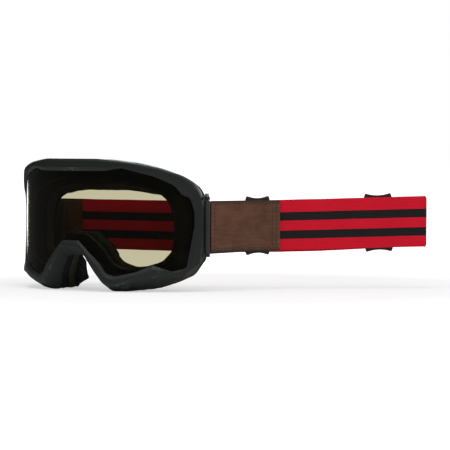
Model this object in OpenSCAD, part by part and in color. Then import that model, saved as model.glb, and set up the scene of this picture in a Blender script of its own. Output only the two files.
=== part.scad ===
// Motocross goggles standing on the lower rim of the frame, with the empty strap held out
// flat to one side. The front faces -Y, and +X is the wearer's left.
// The frame is lofted through matched outlines: each outline lists the same sixteen corners
// of its right half, from the brow to the nose, so corner joins to corner.

/* [Frame] */
// Width of the front, measured along its curve
front_w = 219.6; // [210:0.6:228]
// Height at the middle of the brow
frame_h = 104; // [98:1:110]
// Radius of the lens front, seen from above
front_r = 100; // [96:1:108]
// Depth from the lens front to the rear rim, at the nose
frame_d = 20; // [18:0.5:24]
// Depth from the front's outer edge to the rear rim, at the temples
temple_d = 2.8; // [2.4:0.1:4]
// How much narrower than the front the rear rim is, on each side
rim_step = 2.2; // [1.6:0.1:3]
// Height of the bezel's crest above the lens
bezel_h = 2.6; // [2:0.1:3.4]
// Length of the level band along the rear rim
rim_band = 5; // [3.5:0.5:7]
// Length of one brow vent
vent_l = 15; // [10:1:18]
// Width of one brow vent
vent_w = 5; // [3:0.5:6]
// Number of brow vents
vent_count = 6; // [4:2:6]
// Length of one of the two lower vents
low_vent_l = 14; // [10:1:16]

/* [Lens] */
// Thickness of the lens
lens_t = 1.2; // [1:0.1:1.5]
// Gap between the lens and its groove
lens_gap = 0.15; // [0.1:0.05:0.2]

/* [Foam] */
// Thickness of the base foam at the nose
base_foam_t = 11.5; // [9:0.5:13]
// Thickness of the middle foam at the nose
middle_foam_t = 10.5; // [8:0.5:12]
// Thickness of the face foam at the nose
face_foam_t = 5; // [4:0.5:6]
// Share of the foam's thickness that is gone at the temples
foam_thinning = 0.33; // [0.2:0.01:0.4]
// How much lower the foam's opening is at the face than at the rim, at the brow
brow_taper = 6.3; // [5:0.1:7]
// How much higher it is at the cheeks
cheek_taper = 1.5; // [0:0.1:3]
// Thickness of the vent foams
vent_foam_t = 2; // [1.6:0.1:2.5]

/* [Outriggers] */
// Radius of the hinge pin
pin_r = 1.2; // [1:0.1:1.4]
// Running gap round the hinge pin
pin_gap = 0.05; // [0.03:0.01:0.08]
// Radius of the hinge barrel and of its lugs
barrel_r = 2.2; // [2:0.1:2.3]
// Height of the lower end of the hinge above the floor
hinge_z = 27; // [25:0.5:29]
// Height of the hinge, over both lugs
hinge_h = 47; // [46:0.5:50]
// Height of one lug
lug_h = 2.6; // [2.2:0.1:3]
// Height of the pin's head above the upper lug
pin_head_h = 2.6; // [2:0.1:3]
// Length of the plate that the leather is sewn round
plate_l = 14; // [12:0.5:16]
// Thickness of that plate
plate_t = 2; // [1.6:0.1:2.2]

/* [Strap] */
// Height of the strap
strap_w = 40; // [36:0.5:40]
// Height of the middle of the strap above the floor, at the hinges
strap_z = 50.8; // [50:0.1:52]
// Rise of the strap from the leather's end to the fold
strap_rise = 2.9; // [0:0.1:5]
// Thickness of the elastic
elastic_t = 1.5; // [1.2:0.1:1.7]
// Thickness of the leather
leather_t = 1.6; // [1.3:0.1:1.8]
// Length of each leather tab, from its hinge
tab_l = 66.5; // [62:0.5:72]
// Length of the elastic that is sewn under the end of a tab
tab_overlap = 7; // [5:0.5:7]
// Distance of the near tab's bend from its hinge
tab_bend = 67; // [64:0.5:70]
// Radius of that bend
tab_bend_r = 45; // [35:1:50]
// Length of the inner leather ply, from its hinge
lining_l = 41; // [36:0.5:44]
// Direction of the near tab, seen from above, in degrees
tab_angle = 70.4; // [66:0.2:76]
// Direction of the flattened strap, seen from above, in degrees
strap_angle = 39; // [36:0.5:42]
// Length of the flattened strap, from the near tab's bend to the fold
strap_l = 118.6; // [108:0.2:126]
// Length of the far ply, from the fold to its bend behind the foam
far_ply_l = 206.6; // [200:0.2:212]
// Radius of that bend
far_bend_r = 40; // [34:1:46]
// Radius of the far tab's turn behind the foam
far_turn_r = 6; // [5:0.5:9]
// Space between the plies of the strap, on each side of a slider
ply_gap = 0.3; // [0.3:0.05:0.4]

/* [Sliders] */
// Length of a slider along the strap
slider_l = 23.2; // [21:0.2:25]
// Height of a slider over its four ears
slider_h = 46.4; // [46:0.2:49]
// Depth of the hollow between two ears
slider_waist = 1.6; // [1:0.1:1.8]
// Thickness of a slider
slider_t = 2; // [1.8:0.1:2.2]
// Width of a slider's middle bar
slider_bar = 4; // [3:0.2:5]
// Distance of the front slider's middle from the near hinge
front_slider_t = 47.5; // [46:0.5:49]
// Distance of the rear slider's middle from the near tab's bend
rear_slider_t = 78; // [66:1:84]

/* [Hidden] */
$fn = 48;

// A point at radius rho of the front's curve.
function on_front(p, rho) =
    let (a = p[0] / front_r * 180 / PI)
    [rho * sin(a), front_r - rho * cos(a), p[1]];

// The rear rim is a flatter curve that meets the front's edge at the temples.
edge = on_front([front_w / 2, 0], front_r + bezel_h / 2);
half_w = edge[0] - rim_step;
rim_sag = edge[1] + temple_d - frame_d;
rim_r = (half_w * half_w + rim_sag * rim_sag) / (2 * rim_sag);

// The outlines are drawn for a front and a rim of these half widths, and for this height.
drawn_front = 109.8;
drawn_rim = 88;
drawn_h = 104;
high_fit = frame_h / drawn_h;
front_fit = [front_w / 2 / drawn_front, high_fit];
rim_fit = [half_w / drawn_rim, high_fit];

// Corners as [along the lens from the middle, height, rounding].
APERTURE = [[31, 94.2, 6], [44, 96.6, 8], [70, 90, 40], [86, 83, 10], [91.8, 75.8, 3],
    [98.4, 73.4, 5], [102.2, 62, 14], [101.9, 50, 14], [95.5, 18.6, 2.5], [84.5, 15.9, 3],
    [69.1, 21, 1.5], [56, 15.6, 12], [39, 11.8, 8], [32.5, 14, 6], [27.3, 21.4, 8],
    [8.2, 39.8, 3]];
FRONT = [[26, 103.7, 60], [50, 100.9, 60], [72, 96.9, 60], [92, 90.6, 24],
    [101.5, 85, 14], [107.2, 77.6, 14], [109.8, 66, 16], [109.8, 42, 16], [108.4, 22.4, 8],
    [94, 13.2, 6], [69, 11.1, 1.5], [52, 7.7, 10], [37.5, 4.5, 4], [29.5, 6.6, 5],
    [21.5, 16.5, 8], [9, 34.3, 3]];
// Corners as [distance from the middle, height, rounding].
REAR = [[25, 103, 60], [46, 100.4, 60], [63, 96.2, 40], [77, 90, 24], [83.5, 84.4, 14],
    [86.8, 77.4, 14], [88, 66, 16], [88, 42, 16], [87.2, 24, 10], [79.5, 11.6, 12],
    [62, 4.6, 20], [50, 1.2, 14], [39.5, 0, 6], [27, 0, 6], [19.5, 12, 12],
    [9.8, 28, 6]];
OPENING = [[22, 87.8, 40], [38, 86, 40], [50, 82.5, 24], [60, 77, 16], [65, 71.5, 10],
    [68, 64, 10], [69.5, 56, 10], [69.5, 44, 10], [68.5, 32, 10], [62, 23.5, 10],
    [52, 19, 14], [44, 17.2, 10], [37, 17.2, 8], [30, 21.5, 8], [22, 36, 10], [9, 45, 8]];

// Steps in the rounding of one corner, and the points between each corner and the next.
corner_steps = 3;
SIDE_POINTS = [2, 2, 2, 1, 1, 0, 0, 0, 1, 2, 2, 1, 0, 1, 1];
brow_points = 7;
nose_points = 1;

function mix(a, b, w) = a * (1 - w) + b * w;
function unit(v) = v / norm(v);
function clamp(v, lo, hi) = min(max(v, lo), hi);

// How far along its sides a rounding of radius r starts.
function cut_of(a, c, b, r) =
    let (half_angle = acos(clamp(unit(a - c) * unit(b - c), -1, 1)) / 2)
    min(r / tan(half_angle), 0.46 * min(norm(a - c), norm(b - c)));
// A corner rounded by a curve that leaves both of its sides at the same distance.
function corner(a, c, b, cut) =
    let (p = c + unit(a - c) * cut, q = c + unit(b - c) * cut)
    [for (i = [0 : corner_steps])
        let (u = i / corner_steps)
        (1 - u) * (1 - u) * p + 2 * u * (1 - u) * c + u * u * q];

// Both halves of an outline, rounded, with points along the sides that curve with the frame.
function outline(half, fit) =
    let (n = len(half), m = 2 * n,
        right = [for (c = half) [c[0] * fit[0], c[1] * fit[1]]],
        c = [for (i = [0 : m - 1]) i < n ? right[i] : [-right[m - 1 - i][0], right[m - 1 - i][1]]],
        r = [for (i = [0 : m - 1]) half[i < n ? i : m - 1 - i][2]],
        cut = [for (i = [0 : m - 1]) cut_of(c[(i + m - 1) % m], c[i], c[(i + 1) % m], r[i])],
        extra = [for (i = [0 : m - 1])
            i == m - 1 ? brow_points : i == n - 1 ? nose_points : SIDE_POINTS[i < n ? i : m - 2 - i]])
    [for (i = [0 : m - 1])
        let (next = (i + 1) % m, side = unit(c[next] - c[i]),
            from = c[i] + side * cut[i], to = c[next] - side * cut[next])
        each concat(corner(c[(i + m - 1) % m], c[i], c[next], cut[i]),
            [for (k = [1 : 1 : extra[i]]) mix(from, to, k / (extra[i] + 1))])];

aperture = outline(APERTURE, front_fit);
front = outline(FRONT, front_fit);
rear = outline(REAR, rim_fit);
opening = outline(OPENING, rim_fit);
ring_n = len(aperture);

// The rear rim's distance from the front of the lens, at x.
function rim_y(x) = frame_d + rim_r - sqrt(rim_r * rim_r - x * x);

// A point behind the rear rim, where the depth thins towards the temples.
function behind_rim(p, depth) =
    [p[0], rim_y(p[0]) + depth * (1 - foam_thinning * pow(p[0] / half_w, 2)), p[1]];

function between(a, b, w) = [for (i = [0 : ring_n - 1]) mix(a[i], b[i], w)];
function face_ring(w, rho) = [for (p = between(aperture, front, w)) on_front(p, rho)];
function rim_ring(w, depth) = [for (p = between(rear, opening, w)) behind_rim(p, depth)];

// A closed tube of rings, each joined to the next and the last to the first.
module loft(rings) {
    n = len(rings[0]);
    m = len(rings);
    polyhedron(
        points = [for (r = rings) each r],
        faces = [for (k = [0 : m - 1], i = [0 : n - 1])
            let (a = k * n + i, b = k * n + (i + 1) % n,
                c = ((k + 1) % m) * n + (i + 1) % n, d = ((k + 1) % m) * n + i)
            each [[a, c, b], [a, d, c]]]);
}

// The hinge axes stand beside the rear rim, one at each temple.
hinge_x = half_w + 2.5;
hinge_y = rim_y(half_w) + 1;

// Shares of the way from the aperture to the front's outer edge.
lens_edge = 0.34;
groove_edge = 0.46;
wall_edge = 0.62;
// Share of the way from the rear rim to the opening that the shell's rim takes up.
rim_inset = 0.17;
// Thickness of the lip behind the lens.
lip_t = 1.7;
inside_front = face_ring(wall_edge, front_r - lens_t - lens_gap - lip_t);
inside_rim = rim_edge(rim_inset, 0);
// An outline at the rim that keeps further in at the temples, clear of the lip.
function rim_edge(w, depth) = [for (i = [0 : ring_n - 1])
    let (temple = clamp((abs(rear[i][0]) / half_w - 0.85) / 0.1, 0, 1))
    behind_rim(mix(rear[i], opening[i], w + 0.08 * temple), depth)];

// The frame: a grooved front that holds the lens, a skirt that runs back to the rim, and two
// hinge lugs at each temple.
module frame_shell() {
    crest = front_r + bezel_h;
    front_edge = face_ring(1, front_r + bezel_h / 2);
    rim = rim_ring(0, 0);
    band = [for (i = [0 : ring_n - 1])
        let (f = front_edge[i], b = rim[i], run = norm([b[0] - f[0], b[1] - f[1]]),
            w = clamp(1 - rim_band / run, 0.45, 0.9))
        [mix(f[0], b[0], w), mix(f[1], b[1], w), b[2]]];
    color("dimgray") placed() difference() {
        union() {
            loft([
                face_ring(0, front_r + lens_gap),
                face_ring(0, front_r + bezel_h / 2 - 0.2),
                face_ring(0.3, crest),
                face_ring(0.82, crest),
                front_edge,
                band,
                rim,
                inside_rim,
                inside_front,
                face_ring(0, front_r - lens_t - lens_gap - lip_t * 0.7),
                face_ring(0, front_r - lens_t - lens_gap),
                face_ring(groove_edge, front_r - lens_t - lens_gap),
                face_ring(groove_edge, front_r + lens_gap)]);
            for (side = [-1, 1], z = [hinge_z, hinge_z + hinge_h - lug_h])
                translate([side * hinge_x, hinge_y, z]) lug(side);
        }
        for (side = [-1, 1]) {
            translate([side * hinge_x, hinge_y, hinge_z - 1])
                cylinder(r = pin_r + pin_gap, h = hinge_h + 2);
            lower_vent(side);
        }
        for (i = [0 : vent_count - 1])
            brow_vent((i - (vent_count - 1) / 2) * vent_pitch);
    }
}

// A round lug with a web that runs forward and inward into the shell's rim.
module lug(side) {
    web = [4.2, 5];
    cylinder(r = barrel_r, h = lug_h);
    translate([side > 0 ? -web[0] : 0, -web[1], 0]) cube([web[0], web[1], lug_h]);
}

vent_pitch = 21;
vent_y = 9;
module slot(l, w) {
    square([l - w, w], center = true);
    for (s = [-1, 1]) translate([s * (l - w) / 2, 0]) circle(w / 2);
}
// A slot straight down through the brow.
module brow_vent(x) {
    translate([x, front_r - sqrt(front_r * front_r - x * x) + vent_y, frame_h * 0.93])
        rotate(asin(x / front_r)) linear_extrude(frame_h * 0.1) slot(vent_l, vent_w);
}
// A slot straight up through the skirt, under one cheek.
module lower_vent(side) {
    x = side * 50 * rim_fit[0];
    translate([x, front_r - sqrt(front_r * front_r - x * x) + vent_y, -1])
        rotate(asin(x / front_r)) linear_extrude(18) slot(low_vent_l, 4);
}

// A foam strip that lies along the inside of the skirt, where first and last count the points
// of a ring, w0 and w1 are shares of the way back to the rim, and dir is 1 upwards.
module skirt_strip(first, last, w0, w1, dir) {
    seat = 0.3;
    columns = [for (j = [first : last])
        let (i = (j + ring_n) % ring_n) [inside_front[i], inside_rim[i]]];
    function row(w, dz) = [for (c = columns) mix(c[0], c[1], w) + [0, 0, dir * dz]];
    bar([row(w0, seat), row(w0, seat + vent_foam_t), row(w1, seat + vent_foam_t), row(w1, seat)],
        dir);
}
// A bar between four rows of points. The rows go round its section.
module bar(rows, dir) {
    n = len(rows[0]);
    faces = concat(
        [for (k = [0 : 3], i = [0 : n - 2])
            let (p = k * n + i, q = ((k + 1) % 4) * n + i)
            each [[p, p + 1, q + 1], [p, q + 1, q]]],
        [[0, n, 2 * n], [0, 2 * n, 3 * n],
            [n - 1, 4 * n - 1, 3 * n - 1], [n - 1, 3 * n - 1, 2 * n - 1]]);
    polyhedron(points = [for (r = rows) each r],
        faces = dir > 0 ? faces : [for (f = faces) [f[2], f[1], f[0]]]);
}
// Points of a ring before the corner k.
function before(k) = k * (corner_steps + 1)
    + (k == 0 ? 0 : [for (i = [0 : k - 1]) SIDE_POINTS[i]] * [for (i = [0 : k - 1]) 1]);
module brow_vent_foam() color("black") placed()
    skirt_strip(-brow_points - before(3), before(3) - 1, 0.05, 0.52, -1);
low_first = before(10) + 2;
low_last = before(12) - 1;
module lower_vent_foam_right() color("black") placed()
    skirt_strip(low_first, low_last, 0.3, 0.75, 1);
module lower_vent_foam_left() color("black") placed()
    skirt_strip(ring_n - brow_points - 1 - low_last, ring_n - brow_points - 1 - low_first,
        0.3, 0.75, 1);

plate_depth = 2;
collar_depth = 6;
collar_edge = 0.88;
// The inner frame: a plate inside the rim with a collar round the opening.
module inner_frame() {
    back = rim_edge(rim_inset + 0.02, 0);
    inner = rim_ring(collar_edge, -plate_depth);
    // The plate's front edge follows the slope of the skirt.
    slope = [for (i = [0 : ring_n - 1])
        let (a = inside_rim[i], b = inside_front[i],
            q = clamp(plate_depth / norm([a[0] - b[0], a[1] - b[1]]), 0, 0.6))
        mix(mix(a, b, q), inner[i], 0.07)];
    color("dimgray") placed() loft([
        back,
        slope,
        inner,
        rim_ring(collar_edge, -collar_depth),
        rim_ring(1, -collar_depth),
        rim_ring(1, 0)]);
}

// The lens: columns of a thin wall, from the lower edge of its outline to the upper one.
module lens() {
    rim = between(aperture, front, lens_edge);
    split = 55 * high_fit;
    upper = [for (p = rim) if (p[0] >= 0 && p[1] > split) p];
    lower = [for (p = rim) if (p[0] >= 0 && p[1] <= split) p];
    reach = min(max([for (p = upper) p[0]]), max([for (p = lower) p[0]]));
    columns = 40;
    s = [for (i = [-columns : columns]) reach * sin(90 * i / columns)];
    function wall(rho, chain) = [for (v = s) on_front([v, lookup(abs(v), chain)], rho)];
    color("dimgray", 0.6) placed() bar([wall(front_r, upper), wall(front_r, lower),
        wall(front_r - lens_t, lower), wall(front_r - lens_t, upper)], 1);
}

foam_gap = 0.25;
foam_d = base_foam_t + middle_foam_t + face_foam_t;
foam_edge = 0.16;

// A ring of the foam stack. It narrows towards the face at the brow and the temples, and keeps
// its height at the cheeks. At across = 0 it is the outer edge, and at 1 the inner one.
function foam_ring(depth, across) =
    let (t = depth / foam_d)
    [for (i = [0 : ring_n - 1])
        let (b = rear[i], o = opening[i],
            high = clamp((b[1] / high_fit - 30) / 40, 0, 1),
            outer = [mix(b[0], o[0], foam_edge * (1 + t)),
                mix(b[1], o[1], mix(0.03, foam_edge * (0.75 + t), high))],
            inner = [o[0] * (1 - 0.045 * t), o[1] + t * mix(cheek_taper, -brow_taper, high)])
        behind_rim(mix(outer, inner, across), depth)];

module foam(start, thick, crown) {
    a = start + foam_gap;
    b = start + thick;
    placed() loft([
        foam_ring(a, 0),
        foam_ring(mix(a, b, 0.5), -crown),
        foam_ring(b, crown / 2),
        foam_ring(b, 1 - crown / 2),
        foam_ring(mix(a, b, 0.5), 1 + crown),
        foam_ring(a, 1)]);
}
module base_foam() color("darkslategray") foam(0, base_foam_t, 0.02);
module middle_foam() color("darkolivegreen") foam(base_foam_t, middle_foam_t, 0.02);
// The face foam is rounder than the others.
module face_foam() {
    a = base_foam_t + middle_foam_t + foam_gap;
    color("black") placed() loft([
        foam_ring(a, 0.02),
        foam_ring(mix(a, foam_d, 0.6), 0),
        foam_ring(foam_d, 0.16),
        foam_ring(foam_d, 0.84),
        foam_ring(mix(a, foam_d, 0.6), 1),
        foam_ring(a, 0.98)]);
}

// The strap follows one line seen from above, along the middle of the leather: from the near
// hinge to the fold and back to the far hinge. Each ply lies at its own distance from it,
// and the distance is positive on the outside of the loop.
plate_off = -0.6;
leather_off = plate_off + plate_t / 2 + 0.1 + leather_t / 2;
elastic_off = -leather_t / 2 - ply_gap - elastic_t / 2;
front_slider_off = -leather_t / 2 - ply_gap - slider_t / 2;
rear_slider_off = elastic_off - elastic_t / 2 - ply_gap - slider_t / 2;
behind_slider = slider_t / 2 + ply_gap + elastic_t / 2;
far_ply_off = rear_slider_off - behind_slider - elastic_t - 0.5;
lining_off = min(plate_off - plate_t / 2 - leather_off, front_slider_off - slider_t / 2)
    - 0.1 - leather_t / 2;

function along(a) = [cos(a), sin(a)];
function outward(a) = [sin(a), -cos(a)];
near_start = [hinge_x, hinge_y] + outward(tab_angle) * leather_off;
bend = near_start + along(tab_angle) * tab_bend;
fold_near = bend + along(strap_angle) * strap_l;
fold_w = elastic_off - far_ply_off - 2 * elastic_off;
fold_far = fold_near - outward(strap_angle) * fold_w;
behind_foam = rim_y(half_w) + foam_d * (1 - foam_thinning) + 3;
far_x = -hinge_x - leather_off;
far_turn = [far_x, max(behind_foam, hinge_y + plate_l + far_turn_r + 1)];
// Each corner of the line, and the radius of its bend.
STRAP = [[near_start, 0], [bend, tab_bend_r], [fold_near, fold_w / 2 - 0.1],
    [fold_far, fold_w / 2 - 0.1], [fold_far - along(strap_angle) * far_ply_l, far_bend_r],
    [far_turn, far_turn_r], [[far_x, hinge_y], 0]];

strap_steps = 10;
function bent(a, c, b, r) =
    let (to_a = unit(a - c), to_b = unit(b - c),
        half_angle = acos(clamp(to_a * to_b, -1, 1)) / 2,
        centre = c + unit(to_a + to_b) * r / sin(half_angle),
        from = c + to_a * r / tan(half_angle) - centre,
        to = c + to_b * r / tan(half_angle) - centre,
        a0 = atan2(from[1], from[0]), d = atan2(to[1], to[0]) - a0,
        turn = d > 180 ? d - 360 : d < -180 ? d + 360 : d)
    [for (i = [0 : strap_steps]) centre + r * along(a0 + turn * i / strap_steps)];
strap_line = [for (i = [0 : len(STRAP) - 1])
    each STRAP[i][1] == 0 ? [STRAP[i][0]]
        : bent(STRAP[i - 1][0], STRAP[i][0], STRAP[i + 1][0], STRAP[i][1])];
// The distance of each point along the line.
strap_at = [for (i = 0, t = 0; i < len(strap_line);
    t = i + 1 < len(strap_line) ? t + norm(strap_line[i + 1] - strap_line[i]) : t, i = i + 1) t];
strap_total = strap_at[len(strap_at) - 1];
line_x = [for (i = [0 : len(strap_at) - 1]) [strap_at[i], strap_line[i][0]]];
line_y = [for (i = [0 : len(strap_at) - 1]) [strap_at[i], strap_line[i][1]]];

function at(t) = [lookup(t, line_x), lookup(t, line_y)];
function line_dir(t) = let (v = clamp(t, 0.3, strap_total - 0.3)) unit(at(v + 0.2) - at(v - 0.2));
function beside(t, off) = let (d = line_dir(t)) at(t) + [d[1], -d[0]] * off;
// How far the strap has risen at a point, by its distance along the flattened part.
function risen(p) =
    strap_rise * clamp((p - bend) * along(strap_angle) / strap_l, 0, 1.1);

// A band of the strap between two distances along its line. Its distance from the line and
// its drop are tables by the distance along it.
module band(t0, t1, off, thick, height, drop = [[0, 0]]) {
    t = concat([t0], [for (v = strap_at) if (v > t0 + 0.5 && v < t1 - 0.5) v], [t1]);
    function row(o, dz) = [for (v = t)
        let (p = beside(v, lookup(v, off) + o))
        [p[0], p[1], strap_z + dz + risen(p) - lookup(v, drop)]];
    placed() bar([row(thick / 2, height / 2), row(thick / 2, -height / 2),
        row(-thick / 2, -height / 2), row(-thick / 2, height / 2)], -1);
}

tab_start = barrel_r + 0.4;
lining_drop = [1.7, 0.5];
module leather_tab_right() color("saddlebrown") band(tab_start, tab_l, [[0, 0]], leather_t, strap_w);
module leather_tab_left() color("saddlebrown")
    band(strap_total - tab_l, strap_total - tab_start, [[0, 0]], leather_t, strap_w);
module tab_lining_right() color("sienna")
    band(tab_start, lining_l, [[0, lining_off]], leather_t, strap_w,
        [[0, lining_drop[0]], [lining_l, lining_drop[1]]]);
module tab_lining_left() color("sienna")
    band(strap_total - lining_l, strap_total - tab_start, [[0, lining_off]], leather_t, strap_w,
        [[strap_total - lining_l, lining_drop[1]], [strap_total, lining_drop[0]]]);
elastic_start = tab_l - tab_overlap;
module strap_elastic() color("crimson")
    band(elastic_start, strap_total - elastic_start, [[0, elastic_off]], elastic_t, strap_w);
// The return ply lies behind both sliders.
module strap_return() color("firebrick")
    band(front_slider_t + slider_bar / 2, tab_bend + rear_slider_t + slider_l,
        [[front_slider_t + slider_l / 2, front_slider_off - behind_slider],
            [tab_bend + slider_l / 2, rear_slider_off - behind_slider]],
        elastic_t, strap_w - 0.6);

// An outrigger: a hinge barrel with the plate that the leather is sewn round.
module outrigger(side, angle) {
    gap = 0.3;
    low = hinge_z + lug_h + gap;
    h = hinge_h - 2 * (lug_h + gap);
    color("dimgray") placed() translate([side * hinge_x, hinge_y, 0]) difference() {
        union() {
            translate([0, 0, low]) cylinder(r = barrel_r, h = h);
            rotate(angle) translate([0, -side * plate_off, strap_z])
                rotate([90, 0, 0]) linear_extrude(plate_t, center = true) plate_shape();
        }
        translate([0, 0, low - 1]) cylinder(r = pin_r + pin_gap, h = h + 2);
    }
}
// The plate from the side, with the window that lightens it.
module plate_shape() {
    r = 4;
    rail = 3;
    plate_h = strap_w - 5;
    difference() {
        union() {
            translate([0, -plate_h / 2]) square([plate_l - r, plate_h]);
            translate([0, -plate_h / 2 + r]) square([plate_l, plate_h - 2 * r]);
            for (s = [-1, 1]) translate([plate_l - r, s * (plate_h / 2 - r)]) circle(r);
        }
        translate([barrel_r + rail, -plate_h / 2 + 2 * rail])
            square([plate_l - barrel_r - 2 * rail, plate_h - 4 * rail]);
    }
}
module outrigger_right() outrigger(1, tab_angle);
module outrigger_left() outrigger(-1, 90);

module hinge_pin(side) {
    color("silver") placed() translate([side * hinge_x, hinge_y, hinge_z]) {
        cylinder(r = pin_r, h = hinge_h + 0.5);
        translate([0, 0, hinge_h + 0.05]) cylinder(r = pin_r + 0.5, h = pin_head_h);
    }
}
module hinge_pin_left() hinge_pin(-1);
module hinge_pin_right() hinge_pin(1);

// A slider: two ears at each end with a hollow between them, and two slots.
module slider_shape() {
    ear = 2;
    half_l = slider_l / 2;
    half_h = slider_h / 2;
    span = half_l - ear;
    hollow_r = (span * span + slider_waist * slider_waist) / (2 * slider_waist);
    slot_l = half_l - slider_bar / 2 - 3.2;
    corner = [[half_l, half_h - 5], [half_l - 1, half_h - 1.6], [span + 0.4, half_h - 0.2],
        [span - 0.8, half_h]];
    difference() {
        polygon(concat(corner, [for (i = [3 : -1 : 0]) [-corner[i][0], corner[i][1]]],
            [for (c = corner) -c], [for (i = [3 : -1 : 0]) [corner[i][0], -corner[i][1]]]));
        for (s = [-1, 1]) {
            translate([0, s * (half_h - slider_waist + hollow_r)]) circle(hollow_r);
            translate([s * (slider_bar + slot_l) / 2, 0])
                square([slot_l, slider_h - 6], center = true);
        }
    }
}
module slider(t, off) {
    p = beside(t, off);
    d = line_dir(t);
    pitch = t > tab_bend ? atan(strap_rise / strap_l) : 0;
    color("black") placed() translate([p[0], p[1], strap_z + risen(p)])
        rotate([0, 0, atan2(d[1], d[0])]) rotate([0, -pitch, 0]) rotate([90, 0, 0])
            linear_extrude(slider_t, center = true) slider_shape();
}
module front_slider() slider(front_slider_t, front_slider_off);
module rear_slider() slider(tab_bend + rear_slider_t, rear_slider_off);

// The origin is under the middle of the whole assembly's box.
strap_edge = [for (v = strap_at) beside(v, elastic_off + elastic_t / 2)];
middle = [(max([for (p = strap_edge) p[0]]) - hinge_x - barrel_r) / 2,
    (max([for (p = strap_edge) p[1]]) - bezel_h) / 2];
module placed() translate([-middle[0], -middle[1], 0]) children();

frame_shell();
inner_frame();
lens();
base_foam();
middle_foam();
face_foam();
brow_vent_foam();
lower_vent_foam_left();
lower_vent_foam_right();
outrigger_left();
outrigger_right();
hinge_pin_left();
hinge_pin_right();
leather_tab_left();
leather_tab_right();
tab_lining_left();
tab_lining_right();
strap_elastic();
strap_return();
front_slider();
rear_slider();
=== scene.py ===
import math

import bpy
from mathutils import Matrix, Vector, noise


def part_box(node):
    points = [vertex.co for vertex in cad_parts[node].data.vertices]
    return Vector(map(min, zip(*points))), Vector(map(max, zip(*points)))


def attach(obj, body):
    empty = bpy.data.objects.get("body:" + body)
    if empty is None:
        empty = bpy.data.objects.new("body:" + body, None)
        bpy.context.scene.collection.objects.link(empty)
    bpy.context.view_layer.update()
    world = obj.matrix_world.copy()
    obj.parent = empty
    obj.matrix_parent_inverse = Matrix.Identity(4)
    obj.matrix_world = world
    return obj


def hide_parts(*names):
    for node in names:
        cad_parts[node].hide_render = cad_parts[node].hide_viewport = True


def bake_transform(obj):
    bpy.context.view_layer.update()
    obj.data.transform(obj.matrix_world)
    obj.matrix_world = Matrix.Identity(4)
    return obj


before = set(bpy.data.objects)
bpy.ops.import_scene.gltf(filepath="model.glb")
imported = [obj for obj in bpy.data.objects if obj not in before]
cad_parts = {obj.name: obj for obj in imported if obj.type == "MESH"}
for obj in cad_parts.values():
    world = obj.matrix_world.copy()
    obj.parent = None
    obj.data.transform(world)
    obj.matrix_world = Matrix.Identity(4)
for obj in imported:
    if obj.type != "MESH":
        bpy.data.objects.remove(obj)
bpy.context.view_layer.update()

bpy.ops.object.select_all(action="DESELECT")
MM = 0.001

# The camera. It stands 2.4 m away at the goggles' left front, a little above them, with a
# long lens. The field is 353 mm wide at the goggles.
VIEW_TURN = math.radians(37.5)
VIEW_TILT = math.radians(1.8)
VIEW_CENTRE = Vector((0.03857, -0.02245, 0.0516))
VIEW_DISTANCE = 2.4
VIEW_WIDTH = 0.35266
SENSOR_MM = 36

bpy.context.scene.view_settings.view_transform = "Standard"
toward_camera = Vector((
    math.sin(VIEW_TURN) * math.cos(VIEW_TILT),
    -math.cos(VIEW_TURN) * math.cos(VIEW_TILT),
    math.sin(VIEW_TILT)))
bpy.ops.object.camera_add(
    location=VIEW_CENTRE + toward_camera * VIEW_DISTANCE,
    rotation=(math.pi / 2 - VIEW_TILT, 0, VIEW_TURN))
camera = bpy.context.object
camera.name = "camera"
camera.data.sensor_width = SENSOR_MM
camera.data.lens = SENSOR_MM * VIEW_DISTANCE / VIEW_WIDTH
bpy.context.scene.camera = camera

# The frame moulding. One piece of black plastic holds the lens in a groove round its front,
# carries the hinge lugs at the temples, and stands on its two lower lobes. It is moulded
# with rounded edges, and its skin is satin with a fine grain.


class Grain:
    """A shader socket that sums can be written with, to make up the look of a surface."""

    def __init__(self, tree, socket=None):
        self.tree = tree
        self.socket = socket

    def node(self, kind, sockets=(), out=0, **settings):
        """Adds a node. Its settings are set first, then the values or links of its sockets."""
        made = self.tree.nodes.new("ShaderNode" + kind)
        for name, value in settings.items():
            setattr(made, name, value)
        for name, value in dict(sockets).items():
            if isinstance(value, Grain):
                self.tree.links.new(value.socket, made.inputs[name])
            else:
                made.inputs[name].default_value = value
        return Grain(self.tree, made.outputs[out]) if made.outputs else None

    def math(self, operation, other=0.0):
        """A Math node's operation on this, with another value where it takes one."""
        return self.node("Math", {0: self, 1: other}, operation=operation)

    def __add__(self, other):
        return self.math("ADD", other)

    __radd__ = __add__

    def __sub__(self, other):
        return self.math("SUBTRACT", other)

    def __rsub__(self, other):
        return self.node("Math", {0: other, 1: self}, operation="SUBTRACT")

    def __mul__(self, other):
        return self.math("MULTIPLY", other)

    __rmul__ = __mul__

    def __truediv__(self, other):
        return self.math("DIVIDE", other)

    def blend(self, low, high):
        """One colour or the other: low where this is 0, high where it is 1."""
        return self.node("Mix", {0: self, 6: low, 7: high}, out=2, data_type="RGBA")

    def step(self, start, end):
        """0 up to start and 1 from end on, smooth between."""
        return self.node("MapRange", {"Value": self, "From Min": start, "From Max": end},
                         interpolation_type="SMOOTHSTEP")

    def cloud(self, scale, detail=2.0, rough=0.5):
        """Noise from 0 to 1. This is the place that it is read at."""
        return self.node("TexNoise", {
            "Vector": self, "Scale": scale, "Detail": detail, "Roughness": rough})

    def cells(self, scale):
        """The distance to the nearest of many scattered points."""
        return self.node("TexVoronoi", {"Vector": self, "Scale": scale})


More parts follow.
